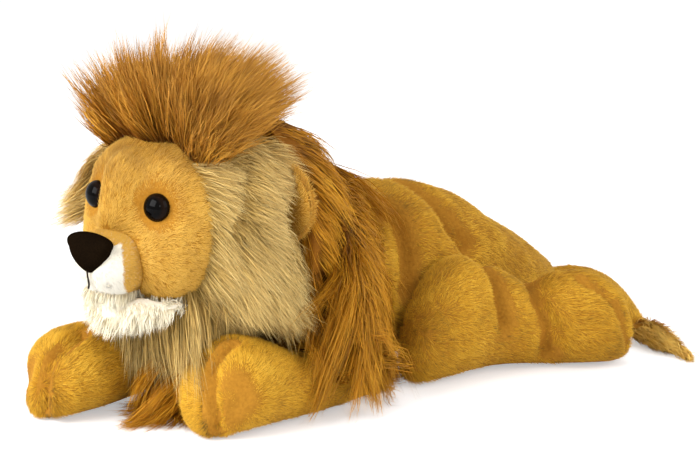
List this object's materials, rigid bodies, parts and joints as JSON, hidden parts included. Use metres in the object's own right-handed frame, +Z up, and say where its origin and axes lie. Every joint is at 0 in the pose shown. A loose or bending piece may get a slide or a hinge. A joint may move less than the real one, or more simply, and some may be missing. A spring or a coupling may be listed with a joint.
{
  "type": "plush lion",
  "caption": "Stuffed plush lion that lies on its belly, with a jointed head, limp legs and tail, and a long-haired mane.",
  "frame": {"origin": "on the flat of the belly, on the floor, under the highest part of the back", "axes": "+Z up; -Y is where the lion looks; +X is the lion's left side"},
  "size_m": [0.246, 0.3468, 0.168],
  "materials": {
    "short_pile": "short golden tan plush pile, about 5 mm",
    "mane_pile": "long ginger-brown faux fur, tips golden",
    "ruff_pile": "medium sandy faux fur round the face",
    "white_pile": "short white plush pile",
    "cream_pile": "cream plush pile on the chin",
    "eye": "polished black safety eye",
    "nose": "matte dark brown moulded nose",
    "thread": "black embroidery thread",
    "washer": "natural moulded plastic locking washer",
    "filling": "white polyester fibre filling",
    "pouch": "plain woven pouch of plastic pellets"
  },
  "bodies": {
    "torso": {"chest_mane": "mane_pile", "mane_left": "mane_pile", "mane_right": "mane_pile", "torso_filling": "filling", "torso_pellet_pouch": "pouch", "torso_skin": "short_pile"},
    "neck": {"neck_pad": "filling"},
    "head": {"beard": "cream_pile", "crest": "mane_pile", "ear_left": "short_pile", "ear_right": "short_pile", "eye_left": "eye", "eye_right": "eye", "eye_washer_left": "washer", "eye_washer_right": "washer", "head_filling": "filling", "head_skin": "short_pile", "mouth_stitch": "thread", "muzzle": "white_pile", "nape_mane": "mane_pile", "nose": "nose", "nose_washer": "washer", "ruff_left": "ruff_pile", "ruff_right": "ruff_pile"},
    "foreleg_left": {"foreleg_left_filling": "filling", "foreleg_left_pellet_pouch": "pouch", "foreleg_left_skin": "short_pile"},
    "foreleg_right": {"foreleg_right_filling": "filling", "foreleg_right_pellet_pouch": "pouch", "foreleg_right_skin": "short_pile"},
    "hind_leg_left": {"hind_leg_left_filling": "filling", "hind_leg_left_pellet_pouch": "pouch", "hind_leg_left_skin": "short_pile"},
    "hind_leg_right": {"hind_leg_right_filling": "filling", "hind_leg_right_pellet_pouch": "pouch", "hind_leg_right_skin": "short_pile"},
    "tail": {"tail_filling": "filling", "tail_skin": "short_pile", "tail_tuft": "mane_pile"}
  },
  "joints": [
    {"name": "neck_turn", "type": "hinge", "parent": "torso", "child": "neck", "pos_m": [0, -0.098, 0.08], "axis": [0, 0, 1], "range_deg": [-15, 15], "stiffness_Nm_per_rad": 0.6},
    {"name": "head_nod", "type": "hinge", "parent": "neck", "child": "head", "pos_m": [0, -0.098, 0.08], "axis": [1, 0, 0], "range_deg": [-15, 6], "stiffness_Nm_per_rad": 1.5},
    {"name": "foreleg_left_swing", "type": "hinge", "parent": "torso", "child": "foreleg_left", "pos_m": [0.036, -0.049, 0.01435], "axis": [1, 0, 0], "range_deg": [0, 75]},
    {"name": "foreleg_right_swing", "type": "hinge", "parent": "torso", "child": "foreleg_right", "pos_m": [-0.036, -0.058, 0.01435], "axis": [1, 0, 0], "range_deg": [0, 75]},
    {"name": "hind_leg_left_swing", "type": "hinge", "parent": "torso", "child": "hind_leg_left", "pos_m": [0.048, 0.02, 0.028], "axis": [1, 0, 0], "range_deg": [-60, 45]},
    {"name": "hind_leg_right_swing", "type": "hinge", "parent": "torso", "child": "hind_leg_right", "pos_m": [-0.048, 0.02, 0.028], "axis": [1, 0, 0], "range_deg": [-60, 45]},
    {"name": "tail_swing", "type": "hinge", "parent": "torso", "child": "tail", "pos_m": [0, 0.151, 0.0065], "axis": [0, 0, 1], "range_deg": [0, 90]}
  ]
}
